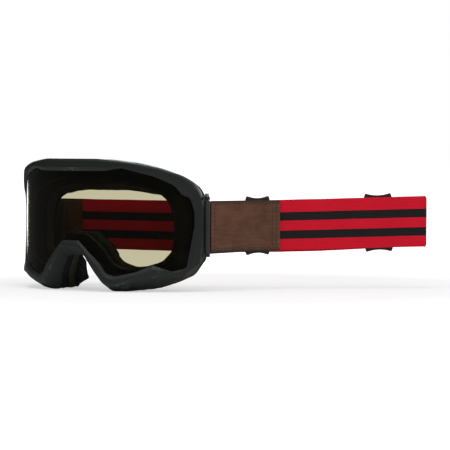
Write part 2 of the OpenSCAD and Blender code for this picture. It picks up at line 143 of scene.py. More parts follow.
def new_finish(name, **values):
    """A material, its shader node, and the place on the piece as a Grain."""
    material = bpy.data.materials.new(name)
    material.use_nodes = True
    shader = material.node_tree.nodes["Principled BSDF"]
    for socket, value in values.items():
        shader.inputs[socket.replace("_", " ")].default_value = value
    place = Grain(material.node_tree).node("TexCoord", out="Object")
    return material, shader, place


def feed(shader, **grains):
    """Links grains to the shader's sockets."""
    for socket, grain in grains.items():
        grain.tree.links.new(grain.socket, shader.inputs[socket.replace("_", " ")])


def relief(height, depth, strength):
    """A bump of a real depth in metres, for a shader's Normal."""
    return height.node("Bump", {"Height": height, "Distance": depth, "Strength": strength})


def colour(red, green, blue):
    return (red, green, blue, 1.0)


GRAIN_MM = 0.35
GRAIN_DEEP_MM = 0.02
RUBBED_GREY = colour(0.09, 0.092, 0.09)


def plastic(name, dark, light, rough, worn=0.5):
    """Moulded plastic with a fine grain, paler where its edges are rubbed."""
    material, shader, place = new_finish(name, IOR=1.5, Specular_IOR_Level=0.3)
    patches = place.cloud(35.0, 3.0)
    grain = place.cloud(1 / (GRAIN_MM * MM), 2.0)
    edge = place.node("NewGeometry", out="Pointiness").step(0.53, 0.62)
    rubbed = edge * place.cloud(260.0, 4.0, 0.6).step(0.42, 0.66) * worn
    feed(shader,
         Base_Color=rubbed.blend(patches.blend(dark, light), RUBBED_GREY),
         Roughness=rough - 0.06 + patches * 0.12 - rubbed * 0.1,
         Normal=relief(grain, GRAIN_DEEP_MM * MM, 0.7))
    return material


def pick(piece):
    """Selects one piece alone."""
    bpy.ops.object.select_all(action="DESELECT")
    piece.select_set(True)
    bpy.context.view_layer.objects.active = piece


def modify(piece, kind, **settings):
    """Adds a modifier and applies it."""
    pick(piece)
    bpy.ops.object.modifier_add(type=kind)
    modifier = piece.modifiers[-1]
    for name, value in settings.items():
        setattr(modifier, name, value)
    bpy.ops.object.modifier_apply(modifier=modifier.name)


MERGE_MM = 0.002
FLAT_ANGLE = 0.2


def take_blank(node, name):
    """A copy of a solid with its loose triangles joined up, ready to be worked."""
    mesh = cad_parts[node].data.copy()
    mesh.name = name
    mesh.materials.clear()
    piece = bpy.data.objects.new(name, mesh)
    bpy.context.scene.collection.objects.link(piece)
    pick(piece)
    bpy.ops.mesh.customdata_custom_splitnormals_clear()
    bpy.ops.object.mode_set(mode="EDIT")
    bpy.ops.mesh.select_all(action="SELECT")
    bpy.ops.mesh.remove_doubles(threshold=MERGE_MM * MM)
    bpy.ops.mesh.dissolve_limited(angle_limit=math.radians(FLAT_ANGLE))
    bpy.ops.object.mode_set(mode="OBJECT")
    return piece


def round_edges(piece, width_mm, angle=30, segments=2, smooth_angle=35):
    """Rounds the edges sharper than an angle, and smooths the rest."""
    modify(piece, "BEVEL", width=width_mm * MM, segments=segments, limit_method="ANGLE",
           angle_limit=math.radians(angle), use_clamp_overlap=True, miter_outer="MITER_ARC")
    smooth(piece, smooth_angle)


def crisp(piece):
    """Lets broad faces stay flat to the eye, with the shading turned at the rounded edges."""
    modify(piece, "WEIGHTED_NORMAL", mode="FACE_AREA", weight=60, keep_sharp=True)


def smooth(piece, angle=35):
    """Shades a piece smooth, but keeps its edges that are sharper than an angle."""
    pick(piece)
    bpy.ops.object.shade_smooth_by_angle(angle=math.radians(angle))


def fit(piece, material, body, slot, *nodes):
    """Gives a piece its material, and puts it on its body in place of CAD nodes."""
    piece.data.materials.clear()
    piece.data.materials.append(material)
    if body:
        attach(piece, body)
    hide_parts(*nodes)


FRAME_BLACK = colour(0.0115, 0.0138, 0.0138)
FRAME_BLACK_WORN = colour(0.018, 0.0212, 0.0212)
FRAME_ROUGH = 0.5
FRAME_EDGE_MM = 0.35
FACET_ANGLE = 13
LENS_RADIUS_MM = 100.0

# The skirt's front and rear behind the lens, and how far forward its rear comes at the nose,
# up to which distance from the middle, and at which heights.
SKIRT_MM = (6.0, 20.0)
NOSE_FORWARD_MM = 11.0
NOSE_SKIRT_WIDE_MM = (20, 42)
NOSE_SKIRT_HIGH_MM = (-20, 24, 56, 72)

low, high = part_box("lens")
lens_front = low.y
lens_axis = Vector(((low.x + high.x) / 2, lens_front + LENS_RADIUS_MM * MM))


def rise(value, start, end):
    """0 up to start and 1 from end on, smooth between."""
    share = min(max((value - start) / (end - start), 0.0), 1.0)
    return share * share * (3 - 2 * share)


def plateau(value, start, top, last, end):
    """0 up to start, 1 between top and last, and 0 again from end on."""
    return rise(value, start, top) * (1 - rise(value, last, end))


def shorten_nose(piece):
    """Makes the skirt shallower round the nose, and brings what is behind it forward."""
    for vertex in piece.data.vertices:
        across = abs(vertex.co.x - lens_axis.x) / MM
        front = LENS_RADIUS_MM - math.sqrt(max(LENS_RADIUS_MM ** 2 - across ** 2, 0))
        depth = (vertex.co.y - lens_front) / MM - front
        share = min(max((depth - SKIRT_MM[0]) / (SKIRT_MM[1] - SKIRT_MM[0]), 0), 1)
        near_nose = ((1 - rise(across, *NOSE_SKIRT_WIDE_MM))
                     * plateau(vertex.co.z / MM, *NOSE_SKIRT_HIGH_MM))
        vertex.co.y -= NOSE_FORWARD_MM * MM * share * near_nose


frame_finish = plastic("frame_black", FRAME_BLACK, FRAME_BLACK_WORN, FRAME_ROUGH)
moulding = take_blank("frame_shell", "frame_moulding")
shorten_nose(moulding)
round_edges(moulding, FRAME_EDGE_MM, FACET_ANGLE, smooth_angle=FACET_ANGLE)
crisp(moulding)
fit(moulding, frame_finish, "frame", "frame_plastic", "frame_shell")

# The inner frame. A thinner black moulding is pressed into the rim and carries the foam. It
# is matt, and shows only from behind and through the lens.
INNER_BLACK = colour(0.011, 0.0115, 0.011)
INNER_BLACK_WORN = colour(0.017, 0.0175, 0.017)
INNER_ROUGH = 0.6
INNER_EDGE_MM = 0.25
RIM_FRONT_MM = 20.0
RIM_RADIUS_MM = 123.9

# How much wider the opening is at the temples, and where: the distances from the middle, the
# heights, and the depths behind the rim over which this fades out.
TEMPLE_OUT_MM = 4.5
TEMPLE_WIDE_MM = (50, 64, 70, 78)
TEMPLE_HIGH_MM = (10, 24, 80, 92)
TEMPLE_DEEP_MM = (3, 9)


def rim_depth(vertex):
    """How far a vertex lies behind the frame's rear rim, in millimetres."""
    across = (vertex.co.x - lens_axis.x) / MM
    rim = RIM_FRONT_MM + RIM_RADIUS_MM - math.sqrt(RIM_RADIUS_MM ** 2 - across ** 2)
    return (vertex.co.y - lens_front) / MM - rim


def widen_at_temples(piece):
    """Sets the inner edge further out at the temples, in front of the softer foam."""
    for vertex in piece.data.vertices:
        across = (vertex.co.x - lens_axis.x) / MM
        push = (TEMPLE_OUT_MM * plateau(abs(across), *TEMPLE_WIDE_MM)
                * plateau(vertex.co.z / MM, *TEMPLE_HIGH_MM)
                * (1 - rise(rim_depth(vertex), *TEMPLE_DEEP_MM)))
        vertex.co.x += math.copysign(push * MM, across)


inner_finish = plastic("inner_black", INNER_BLACK, INNER_BLACK_WORN, INNER_ROUGH, worn=0.2)
carrier = take_blank("inner_frame", "foam_carrier")
shorten_nose(carrier)
widen_at_temples(carrier)
round_edges(carrier, INNER_EDGE_MM)
fit(carrier, inner_finish, "frame", "inner_plastic", "inner_frame")

# The lens. One sheet of smoked polycarbonate is curved like a drum and sprung into the groove.
# It is too thin to bend the light, and has a glossy hard coat with faint hairlines of wiping.
SMOKE = colour(0.41, 0.385, 0.255)
LENS_INDEX = 1.01
COAT_INDEX = 1.5
LENS_MM = 1.2
LENS_SPLIT_MM = 55.0
LENS_COLUMNS = 240
HAIRLINES = (900.0, 900.0, 60.0)

lens_finish, lens_shader, lens_place = new_finish(
    "smoked_lens", Base_Color=SMOKE, IOR=LENS_INDEX, Transmission_Weight=1.0,
    Coat_Weight=1.0, Coat_IOR=COAT_INDEX, Coat_Roughness=0.0)
wiped = lens_place.node("Mapping", {"Vector": lens_place, "Scale": HAIRLINES})
hairlines = wiped.cloud(1.0, 1.0).step(0.7, 0.78)
feed(lens_shader, Roughness=hairlines * 0.02)

# The heights of the CAD lens's two edges, by the turn round its axis.
outline = {"top": {}, "bottom": {}}
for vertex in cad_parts["lens"].data.vertices:
    across = vertex.co.xy - lens_axis
    turn = round(math.atan2(across.x, -across.y), 4)
    outline["top" if vertex.co.z > LENS_SPLIT_MM * MM else "bottom"][turn] = vertex.co.z
outline = {edge: sorted(heights.items()) for edge, heights in outline.items()}
lens_reach = outline["top"][-1][0]


def edge_height(edge, turn):
    """The height of the lens's upper or lower edge, at a turn round its axis."""
    heights = outline[edge]
    for (before, low_side), (after, high_side) in zip(heights, heights[1:]):
        if turn <= after:
            break
    share = (turn - before) / (after - before)
    return low_side + (high_side - low_side) * min(max(share, 0), 1)


bpy.ops.object.select_all(action="DESELECT")
bpy.ops.mesh.primitive_grid_add(x_subdivisions=LENS_COLUMNS, y_subdivisions=2, size=1)
lens = bpy.context.object
lens.name = lens.data.name = "smoked_lens"
for vertex in lens.data.vertices:
    turn = 2 * vertex.co.x * lens_reach
    bottom, top = edge_height("bottom", turn), edge_height("top", turn)
    radius = (LENS_RADIUS_MM - LENS_MM / 2) * MM
    place = lens_axis + radius * Vector((math.sin(turn), -math.cos(turn)))
    vertex.co = (place.x, place.y, bottom + (top - bottom) * (vertex.co.y + 0.5))
modify(lens, "SOLIDIFY", thickness=LENS_MM * MM, offset=0, use_even_offset=True)
smooth(lens)
fit(lens, lens_finish, "frame", "lens_smoke", "lens")

# The face foam. Three rings of open-cell foam are cut from sheet and glued up: a black base on
# the inner frame, a softer olive one, and a fleece-covered one that touches the face, with
# flaps beside the nose.
FOAM_EDGE_ANGLE = 35
FOAM_SMOOTH_ANGLE = 50
# The pit colours are painted shade inside the foam's pits, darker than the foam itself.
FOAM_PIT_SHADE = colour(0.006, 0.006, 0.006)
BASE_BLACK = colour(0.022, 0.024, 0.023)
OLIVE = colour(0.078, 0.077, 0.052)
OLIVE_PIT_SHADE = colour(0.024, 0.024, 0.016)
FLEECE_DARK = colour(0.005, 0.005, 0.005)
FLEECE_PALE = colour(0.02, 0.02, 0.021)


def foam(name, pale, dark, cell_mm, deep_mm):
    """Open-cell foam: a crowd of small pits, with shade painted inside them."""
    material, shader, place = new_finish(name, Specular_IOR_Level=0.15)
    pits = place.cells(1 / (cell_mm * MM))
    small = place.cells(1 / (0.45 * cell_mm * MM))
    # skin is 0 in the pits and 1 on the foam's face. The pits take the dark colour, which is
    # painted shade, mixed with a little random tone.
    skin = (pits * 0.7 + small * 0.5).step(0.1, 0.75)
    feed(shader,
         Base_Color=(skin * 0.75 + place.cloud(60.0, 3.0) * 0.25).blend(dark, pale),
         Roughness=0.88 + skin * 0.08,
         Normal=relief(skin, deep_mm * MM, 0.8))
    return material


# The foam's depth, how much of it is gone at the nose and where, how far the opening's upper
# edge hangs at the brow and where, and how far the flaps reach in at the nose and where. Each
# place is a distance from the middle and a height.
FOAM_DEEP_MM = 27.0
NOSE_DIP = 0.36
NOSE_WIDE_MM = (30, 46)
NOSE_HIGH_MM = (-6, 32, 52, 66)
BROW_HANG_MM = 4.0
BROW_WIDE_MM = (36, 60)
BROW_HIGH_MM = (60, 72, 84, 97)
FLAP_IN_MM = 14.0
FLAP_WIDE_MM = (26, 56)
FLAP_HIGH_MM = (1, 11, 15, 30)


def shape_to_face(piece):
    """Sets the foam back round the nose, where a face stands forward, and lets its inner edge
    hang lower at the brow."""
    for vertex in piece.data.vertices:
        across = abs(vertex.co.x - lens_axis.x) / MM
        high = vertex.co.z / MM
        depth = rim_depth(vertex)
        dip = NOSE_DIP * (1 - rise(across, *NOSE_WIDE_MM)) * plateau(high, *NOSE_HIGH_MM)
        hang = (BROW_HANG_MM * min(max(depth / FOAM_DEEP_MM, 0), 1)
                * (1 - rise(across, *BROW_WIDE_MM)) * plateau(high, *BROW_HIGH_MM))
        vertex.co += Vector((0, -depth * dip * MM, -hang * MM))


def form_nose_flaps(piece):
    """Brings the foam in towards the nose at both sides of the arch, clear of the table."""
    for vertex in piece.data.vertices:
        across = (vertex.co.x - lens_axis.x) / MM
        push = (FLAP_IN_MM * (1 - rise(abs(across), *FLAP_WIDE_MM))
                * plateau(vertex.co.z / MM, *FLAP_HIGH_MM))
        vertex.co.x -= math.copysign(min(push, abs(across) / 2) * MM, across)


def soften(piece, edge_mm, cells_mm, swell_mm, seed):
    """Rounds a foam piece's edges and makes its skin slightly uneven."""
    modify(piece, "BEVEL", width=edge_mm * MM, segments=3, limit_method="ANGLE",
           angle_limit=math.radians(FOAM_EDGE_ANGLE), use_clamp_overlap=True)
    modify(piece, "TRIANGULATE")
    modify(piece, "SUBSURF", subdivision_type="SIMPLE", levels=2, render_levels=2)
    for vertex, normal in zip(piece.data.vertices,
                              [v.normal.copy() for v in piece.data.vertices]):
        point = vertex.co / (cells_mm * MM) + Vector((seed, 0, 0))
        vertex.co += normal * (noise.noise(point) * swell_mm * MM)
    smooth(piece, FOAM_SMOOTH_ANGLE)


def foam_ring(node, material, slot, skin, first_shape=None):
    """Makes one ring. Its skin is what soften is told, and first_shape is a form of its own."""
    ring = take_blank(node, node + "_ring")
    soften(ring, *skin)
    if first_shape:
        first_shape(ring)
    shape_to_face(ring)
    shorten_nose(ring)
    fit(ring, material, "frame", slot, node)


base_finish = foam("base_foam_black", BASE_BLACK, FOAM_PIT_SHADE, 0.55, 0.2)
middle_finish = foam("middle_foam_olive", OLIVE, OLIVE_PIT_SHADE, 0.5, 0.2)
fleece_finish, fleece_shader, fleece_place = new_finish(
    "face_fleece", Specular_IOR_Level=0.1, Sheen_Weight=0.12, Sheen_Roughness=0.5)
naps = fleece_place.cloud(1500.0, 3.0, 0.7)
tufts = fleece_place.cloud(350.0, 2.0)
feed(fleece_shader,
     Base_Color=(naps * 0.6 + tufts * 0.4).step(0.25, 0.8).blend(FLEECE_DARK, FLEECE_PALE),
     Roughness=0.9 + naps * 0.08,
     Normal=relief(naps * 0.6 + tufts * 0.4, 0.35 * MM, 0.9))

foam_ring("base_foam", base_finish, "base_foam_black", (0.5, 4.0, 0.12, 3),
          widen_at_temples)
foam_ring("middle_foam", middle_finish, "middle_foam_olive", (0.7, 5.0, 0.18, 11))
foam_ring("face_foam", fleece_finish, "face_fleece", (1.2, 6.0, 0.25, 23),
          form_nose_flaps)

# The vent foams. Thin strips of coarse foam are glued over the brow vents and the two lower
# vents, and keep the dust out.
VENT_GREY = colour(0.035, 0.035, 0.034)

vent_finish = foam("vent_foam", VENT_GREY, FOAM_PIT_SHADE, 0.9, 0.35)
for node, name in (("brow_vent_foam", "brow_vent_strip"),
                   ("lower_vent_foam_left", "lower_vent_pad_left"),
                   ("lower_vent_foam_right", "lower_vent_pad_right")):
    pad = take_blank(node, name)
    soften(pad, 0.3, 2.0, 0.08, 31)
    fit(pad, vent_finish, "frame", "vent_foam", node)

# The hinges. Each outrigger is a dark grey moulding with a barrel, which turns on a steel
# pin between two lugs of the frame, and a plate that the leather is sewn round.
OUTRIGGER_GREY = colour(0.022, 0.0235, 0.024)
OUTRIGGER_WORN = colour(0.032, 0.034, 0.035)
OUTRIGGER_EDGE_MM = 0.3
STEEL_DARK = colour(0.42, 0.43, 0.44)
STEEL_PALE = colour(0.6, 0.61, 0.62)
PIN_EDGE_MM = 0.25
TURNING_MARKS = (300.0, 300.0, 5000.0)

outrigger_finish = plastic("outrigger_grey", OUTRIGGER_GREY, OUTRIGGER_WORN, 0.45)
pin_finish, pin_shader, pin_place = new_finish("pin_steel", Metallic=1.0)
turned = pin_place.node("Mapping", {"Vector": pin_place, "Scale": TURNING_MARKS})
turning = turned.cloud(1.0, 2.0)
feed(pin_shader,
     Base_Color=turning.blend(STEEL_DARK, STEEL_PALE),
     Roughness=0.3 + turning * 0.2,
     Normal=relief(turning, 0.01 * MM, 0.5))
for side in ("left", "right"):
    outrigger = take_blank("outrigger_" + side, "hinge_plate_" + side)
    round_edges(outrigger, OUTRIGGER_EDGE_MM)
    fit(outrigger, outrigger_finish, "outrigger_" + side + "_arm", "outrigger_plastic",
        "outrigger_" + side)
    pin = take_blank("hinge_pin_" + side, "steel_pin_" + side)
    round_edges(pin, PIN_EDGE_MM)
    fit(pin, pin_finish, "frame", "pin_metal", "hinge_pin_" + side)

# The leather tabs. Each is one strip of waxed brown leather with a shorter strip of rough
# grey-brown leather behind it. The two are sewn together round the hinge plate, and the tab's
# other end is sewn to the elastic.

# The strap's line is seen from above, from the near hinge to the fold and back to the far
# hinge. Every ply lies at its own distance from this line.
NEAR_TAB_ANGLE = 70.4
STRAP_ANGLE = 39.0
TAB_BEND_MM = 67.0
TAB_BEND_RADIUS_MM = 45.0
STRAP_LENGTH_MM = 118.6
FOLD_WIDTH_MM = 9.8
FOLD_RADIUS_MM = 4.8
FAR_PLY_MM = 206.6
FAR_BEND_RADIUS_MM = 40.0
FAR_TURN_MM = 21.0
FAR_TURN_RADIUS_MM = 6.0
LEATHER_OFF_MM = 1.3
STRAP_HEIGHT_MM = 40.0
STRAP_MIDDLE_MM = 50.8
STRAP_RISE_MM = 2.9
FAR_SAG_MM = 1.6
FAR_SAG_FROM_MM = (20, 100)
FAR_SAG_BACK_MM = (170, 215)
FAR_SAG_BACK = 0.6
END_KEPT_MM = 0.6
LEATHER_MM = 1.6
TAB_START_MM = 2.6
TAB_END_MM = 66.5
LINING_END_MM = 41.0
LINING_OFF_MM = -4.0
BEND_STEPS = 24


def hinge_of(side):
    """Where a hinge pin stands, seen from above, in millimetres."""
    low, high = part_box("hinge_pin_" + side)
    return Vector(((low.x + high.x) / 2, (low.y + high.y) / 2)) / MM


def along(degrees):
    """The direction at an angle from +X, seen from above."""
    return Vector((math.cos(math.radians(degrees)), math.sin(math.radians(degrees))))


def outward(degrees):
    """The direction to the right of that one."""
    return Vector((math.sin(math.radians(degrees)), -math.cos(math.radians(degrees))))


def bent(before, corner, after, radius):
    """The points of a bend that rounds a corner."""
    to_before = (before - corner).normalized()
    to_after = (after - corner).normalized()
    half = to_before.angle(to_after) / 2
    centre = corner + (to_before + to_after).normalized() * radius / math.sin(half)
    start = corner + to_before * radius / math.tan(half) - centre
    end = corner + to_after * radius / math.tan(half) - centre
    turn = math.atan2(start.x * end.y - start.y * end.x, start.dot(end))
    return [centre + Matrix.Rotation(turn * i / BEND_STEPS, 2) @ start
            for i in range(BEND_STEPS + 1)]


near_hinge, far_hinge = hinge_of("right"), hinge_of("left")
near_start = near_hinge + outward(NEAR_TAB_ANGLE) * LEATHER_OFF_MM
near_bend = near_start + along(NEAR_TAB_ANGLE) * TAB_BEND_MM
fold_near = near_bend + along(STRAP_ANGLE) * STRAP_LENGTH_MM
fold_far = fold_near - outward(STRAP_ANGLE) * FOLD_WIDTH_MM
far_bend = fold_far - along(STRAP_ANGLE) * FAR_PLY_MM
far_start = Vector((far_hinge.x - LEATHER_OFF_MM, far_hinge.y))
far_turn = far_start + Vector((0, FAR_TURN_MM))
corners = [(near_start, 0), (near_bend, TAB_BEND_RADIUS_MM), (fold_near, FOLD_RADIUS_MM),
           (fold_far, FOLD_RADIUS_MM), (far_bend, FAR_BEND_RADIUS_MM),
           (far_turn, FAR_TURN_RADIUS_MM), (far_start, 0)]
strap_line = [near_start]
for i in range(1, len(corners) - 1):
    strap_line += bent(corners[i - 1][0], corners[i][0], corners[i + 1][0], corners[i][1])
strap_line.append(far_start)
strap_at = [0.0]
for first, second in zip(strap_line, strap_line[1:]):
    strap_at.append(strap_at[-1] + (second - first).length)
STRAP_TOTAL_MM = strap_at[-1]
fold_at = TAB_BEND_MM + STRAP_LENGTH_MM
fold_middle = max(zip(strap_line, strap_at), key=lambda at: at[0].dot(along(STRAP_ANGLE)))[1]


def line_point(distance):
    """The point of the strap's line at a distance from the near hinge."""
    for i in range(1, len(strap_at) - 1):
        if distance < strap_at[i]:
            break
    else:
        i = len(strap_at) - 1
    share = (distance - strap_at[i - 1]) / (strap_at[i] - strap_at[i - 1])
    return strap_line[i - 1].lerp(strap_line[i], share)


def strap_point(distance, off, height):
    """A point of the goggles, from its place on the strap, all in millimetres."""
    middle = min(max(distance, END_KEPT_MM), STRAP_TOTAL_MM - END_KEPT_MM)
    ahead = (line_point(middle + 0.5) - line_point(middle - 0.5)).normalized()
    point = line_point(distance) + Vector((ahead.y, -ahead.x)) * off
    risen = min(max((point - near_bend).dot(along(STRAP_ANGLE)) / STRAP_LENGTH_MM, 0), 1.1)
    past_fold = distance - fold_at
    sagged = FAR_SAG_MM * (rise(past_fold, *FAR_SAG_FROM_MM)
                           - FAR_SAG_BACK * rise(past_fold, *FAR_SAG_BACK_MM))
    return Vector((point.x, point.y,
                   STRAP_MIDDLE_MM + STRAP_RISE_MM * risen - sagged + height)) * MM


def ply(name, start, end, thick, step, shape):
    """A strip of the strap between two places on its line. shape gives the distance from
    the line and the height, from the place along the strip and across it."""
    columns = round((end - start) / step)
    rows = round(STRAP_HEIGHT_MM / step)
    bpy.ops.object.select_all(action="DESELECT")
    bpy.ops.mesh.primitive_grid_add(x_subdivisions=columns, y_subdivisions=rows, size=1)
    strip = bpy.context.object
    strip.name = strip.data.name = name
    places = strip.data.attributes.new("strap_place", "FLOAT_VECTOR", "POINT")
    for vertex in strip.data.vertices:
        distance = start + (vertex.co.x + 0.5) * (end - start)
        across = vertex.co.y
        off, height = shape(distance, across)
        places.data[vertex.index].vector = (distance, across * STRAP_HEIGHT_MM, 0)
        vertex.co = strap_point(distance, off, height)
    modify(strip, "SOLIDIFY", thickness=thick * MM, offset=0, use_even_offset=True)
    return strip


THREAD_MM = 0.55
STITCH_LONGER = 1.06
THREAD_SMOOTH_ANGLE = 60
THREAD_DARK = colour(0.022, 0.018, 0.011)
THREAD_PALE = colour(0.045, 0.036, 0.022)


def stitches(name, places):
    """Thread seen on a face of the strap: one short rounded stitch for each place, given by
    its start and end, each a distance along, a distance off and a height."""
    bpy.ops.object.select_all(action="DESELECT")
    made = []
    for start, end in places:
        first, last = strap_point(*start), strap_point(*end)
        run = last - first
        bpy.ops.mesh.primitive_uv_sphere_add(segments=8, ring_count=6, radius=0.5)
        stitch = bpy.context.object
        turn = run.to_track_quat("Z", "Y").to_matrix().to_4x4()
        shape = Matrix.Diagonal((THREAD_MM * MM, THREAD_MM * MM, run.length * STITCH_LONGER, 1))
        stitch.data.transform(Matrix.Translation((first + last) / 2) @ turn @ shape)
        made.append(stitch)
    for stitch in made:
        stitch.select_set(True)
    bpy.context.view_layer.objects.active = made[0]
    bpy.ops.object.join()
    thread = bpy.context.object
    thread.data.transform(thread.matrix_world)
    thread.matrix_world = Matrix.Identity(4)
    thread.name = thread.data.name = name
    smooth(thread, THREAD_SMOOTH_ANGLE)
    return thread


STITCH_PITCH_MM = 3.2
STITCH_MM = 2.2
STITCH_EDGE_MM = 2.6
STITCH_SUNK_MM = 0.12
SEAM_PULL_MM = 0.9
SEAM_DEEP_MM = 0.28
SEAM_INSET_MM = (2.4, 1.5)
COLUMN_INSET_MM = (1.2, 0.6)
SEAM_MM = STRAP_HEIGHT_MM / 2 - STITCH_EDGE_MM
SEAM_COLUMNS_MM = (59.6, 63.2, 5.6)


def near_a_seam(distance, across_mm):
    """How deep the thread pulls the leather in at a place: 1 in the seam, 0 away from it."""
    gaps = [abs(abs(across_mm) - SEAM_MM)]
    if abs(across_mm) < SEAM_MM:
        gaps += [abs(distance - column) for column in SEAM_COLUMNS_MM]
    return max(0.0, 1 - min(gaps) / SEAM_PULL_MM) ** 2


LEATHER_DARK = colour(0.082, 0.035, 0.019)
LEATHER_PALE = colour(0.145, 0.060, 0.030)
LEATHER_BURNISHED = colour(0.035, 0.019, 0.013)
BURNISHED_MM = (17.5, 19.8)
PLY_EDGE_ANGLE = 50
LEATHER_EDGE_MM = 0.4
LINING_DARK = colour(0.055, 0.044, 0.033)
LINING_PALE = colour(0.10, 0.082, 0.064)
LINING_EDGE_MM = 0.35
LINING_DROP_MM = (1.7, 0.5)

leather, leather_shader, leather_place = new_finish("leather_brown", Specular_IOR_Level=0.3)
strap_place = leather_place.node("Attribute", out="Vector", attribute_name="strap_place")
from_middle = strap_place.node("SeparateXYZ", {"Vector": strap_place}, out=1)
burnished = from_middle.math("ABSOLUTE").step(*BURNISHED_MM)
mottle = leather_place.cloud(90.0, 4.0, 0.6)
streaks = strap_place.node("Mapping", {"Vector": strap_place, "Scale": (0.05, 0.5, 1.0)})
pebbles = leather_place.cells(1500.0)
creases = leather_place.cloud(700.0, 4.0, 0.6)
body_colour = (mottle * 0.65 + streaks.cloud(1.0, 2.0) * 0.35).step(0.3, 0.7).blend(
    LEATHER_DARK, LEATHER_PALE)
feed(leather_shader,
     Base_Color=burnished.blend(body_colour, LEATHER_BURNISHED),
     Roughness=0.52 + mottle * 0.14 - burnished * 0.08,
     Normal=relief(pebbles * 0.5 + creases * 0.5, 0.12 * MM, 0.55))

lining, lining_shader, lining_place = new_finish("lining_grey", Specular_IOR_Level=0.2)
nap = lining_place.cloud(1100.0, 5.0, 0.7)
blotch = lining_place.cloud(120.0, 3.0)
feed(lining_shader,
     Base_Color=(nap * 0.5 + blotch * 0.5).step(0.3, 0.7).blend(LINING_DARK, LINING_PALE),
     Roughness=0.85 + nap * 0.1,
     Normal=relief(nap, 0.2 * MM, 0.8))

thread_finish, thread_shader, thread_place = new_finish("dark_thread", Specular_IOR_Level=0.3)
twist = thread_place.cloud(2500.0, 2.0)
feed(thread_shader,
     Base_Color=twist.blend(THREAD_DARK, THREAD_PALE),
     Roughness=0.6 + twist * 0.2,
     Normal=relief(twist, 0.08 * MM, 0.7))

for side in ("right", "left"):
    far = side == "left"
    body = "outrigger_" + side + "_arm"

    def place_from_hinge(distance):
        """The place on the strap's line at a distance from this tab's hinge, or the reverse."""
        return STRAP_TOTAL_MM - distance if far else distance

    def tab_shape(distance, across):
        from_hinge = place_from_hinge(distance)
        sunk = SEAM_DEEP_MM * near_a_seam(from_hinge, across * STRAP_HEIGHT_MM)
        return -sunk, across * STRAP_HEIGHT_MM

    def lining_shape(distance, across):
        share = place_from_hinge(distance) / LINING_END_MM
        drop = LINING_DROP_MM[0] + (LINING_DROP_MM[1] - LINING_DROP_MM[0]) * share
        return LINING_OFF_MM, across * STRAP_HEIGHT_MM - drop

    start, end = sorted((place_from_hinge(TAB_START_MM), place_from_hinge(TAB_END_MM)))
    tab = ply("leather_strip_" + side, start, end, LEATHER_MM, 0.5, tab_shape)
    round_edges(tab, LEATHER_EDGE_MM, angle=PLY_EDGE_ANGLE)
    fit(tab, leather, body, "leather_brown", "leather_tab_" + side)

    start, end = sorted((place_from_hinge(TAB_START_MM), place_from_hinge(LINING_END_MM)))
    back = ply("lining_strip_" + side, start, end, LEATHER_MM, 1.0, lining_shape)
    round_edges(back, LINING_EDGE_MM, angle=PLY_EDGE_ANGLE)
    fit(back, lining, body, "lining_grey", "tab_lining_" + side)

    face = LEATHER_MM / 2 - STITCH_SUNK_MM
    runs = []
    distance = TAB_START_MM + SEAM_INSET_MM[0]
    while distance + STITCH_MM < TAB_END_MM - SEAM_INSET_MM[1]:
        for height in (SEAM_MM, -SEAM_MM):
            runs.append(((place_from_hinge(distance), face, height),
                         (place_from_hinge(distance + STITCH_MM), face, height)))
        distance += STITCH_PITCH_MM
    for column in SEAM_COLUMNS_MM:
        height = -SEAM_MM + COLUMN_INSET_MM[0]
        while height + STITCH_MM < SEAM_MM - COLUMN_INSET_MM[1]:
            runs.append(((place_from_hinge(column), face, height),
                         (place_from_hinge(column), face, height + STITCH_MM)))
            height += STITCH_PITCH_MM
    thread = stitches("tab_stitching_" + side, runs)
    fit(thread, thread_finish, body, "leather_brown")

# The elastic. One woven band, red with two black stripes, runs from tab to tab and is folded
# flat beyond the near tab. Its adjusting length doubles back behind the sliders.
ELASTIC_MM = 1.5
ELASTIC_OFF_MM = -1.85
ELASTIC_START_MM = 59.5
FOLD_JOIN_MM = 210.0
RETURN_START_MM = 49.5
RETURN_END_MM = 168.2
RETURN_OFF_MM = (-4.15, -5.95)
RETURN_HEIGHT_MM = 39.4
RETURN_TURN_MM = (59.1, 78.6)
ELASTIC_EDGE_MM = 0.3
NEAR_BEND_MM = (66.0, 96.0)
FAR_BEND_MM = (125, 66)

# How the band lies: over the rear slider, creased beyond it, folded with rounded corners, and
# nowhere quite straight.
REAR_SLIDER_MM = 145.0
OVER_SLIDER_MM = 9.0
OVER_SLIDER_HIGH_MM = 0.22
CREASE_MM = REAR_SLIDER_MM + 7.2
CREASE_WIDE_MM = 1.4
CREASE_DEEP_MM = 0.3
FOLD_LONG_MM = 5.0
FOLD_DEEP_MM = 0.35
FOLD_CORNER_MM = 1.3
FOLD_CORNER_SHARE = 0.06
WAVE_LONG_MM = (28, 22)
WAVE_MM = 0.18
FOLD_WAVE_MM = 0.5
PULLED_MM = 0.2

# The stripes' edges from the top, how soft and ragged they are, the spacing of the ribs and
# of the picks, and the two dyes.
STRIPES_MM = (9.9, 16.6, 24.5, 31.1)
STRIPE_EDGE_MM = 0.12
RAGGED_MM = 0.35
RIB_MM = 1.1
PICK_MM = 0.8
RED_DARK = colour(0.56, 0.006, 0.020)
RED_PALE = colour(0.73, 0.011, 0.033)
BLACK_DARK = colour(0.010, 0.009, 0.010)
BLACK_PALE = colour(0.024, 0.021, 0.022)

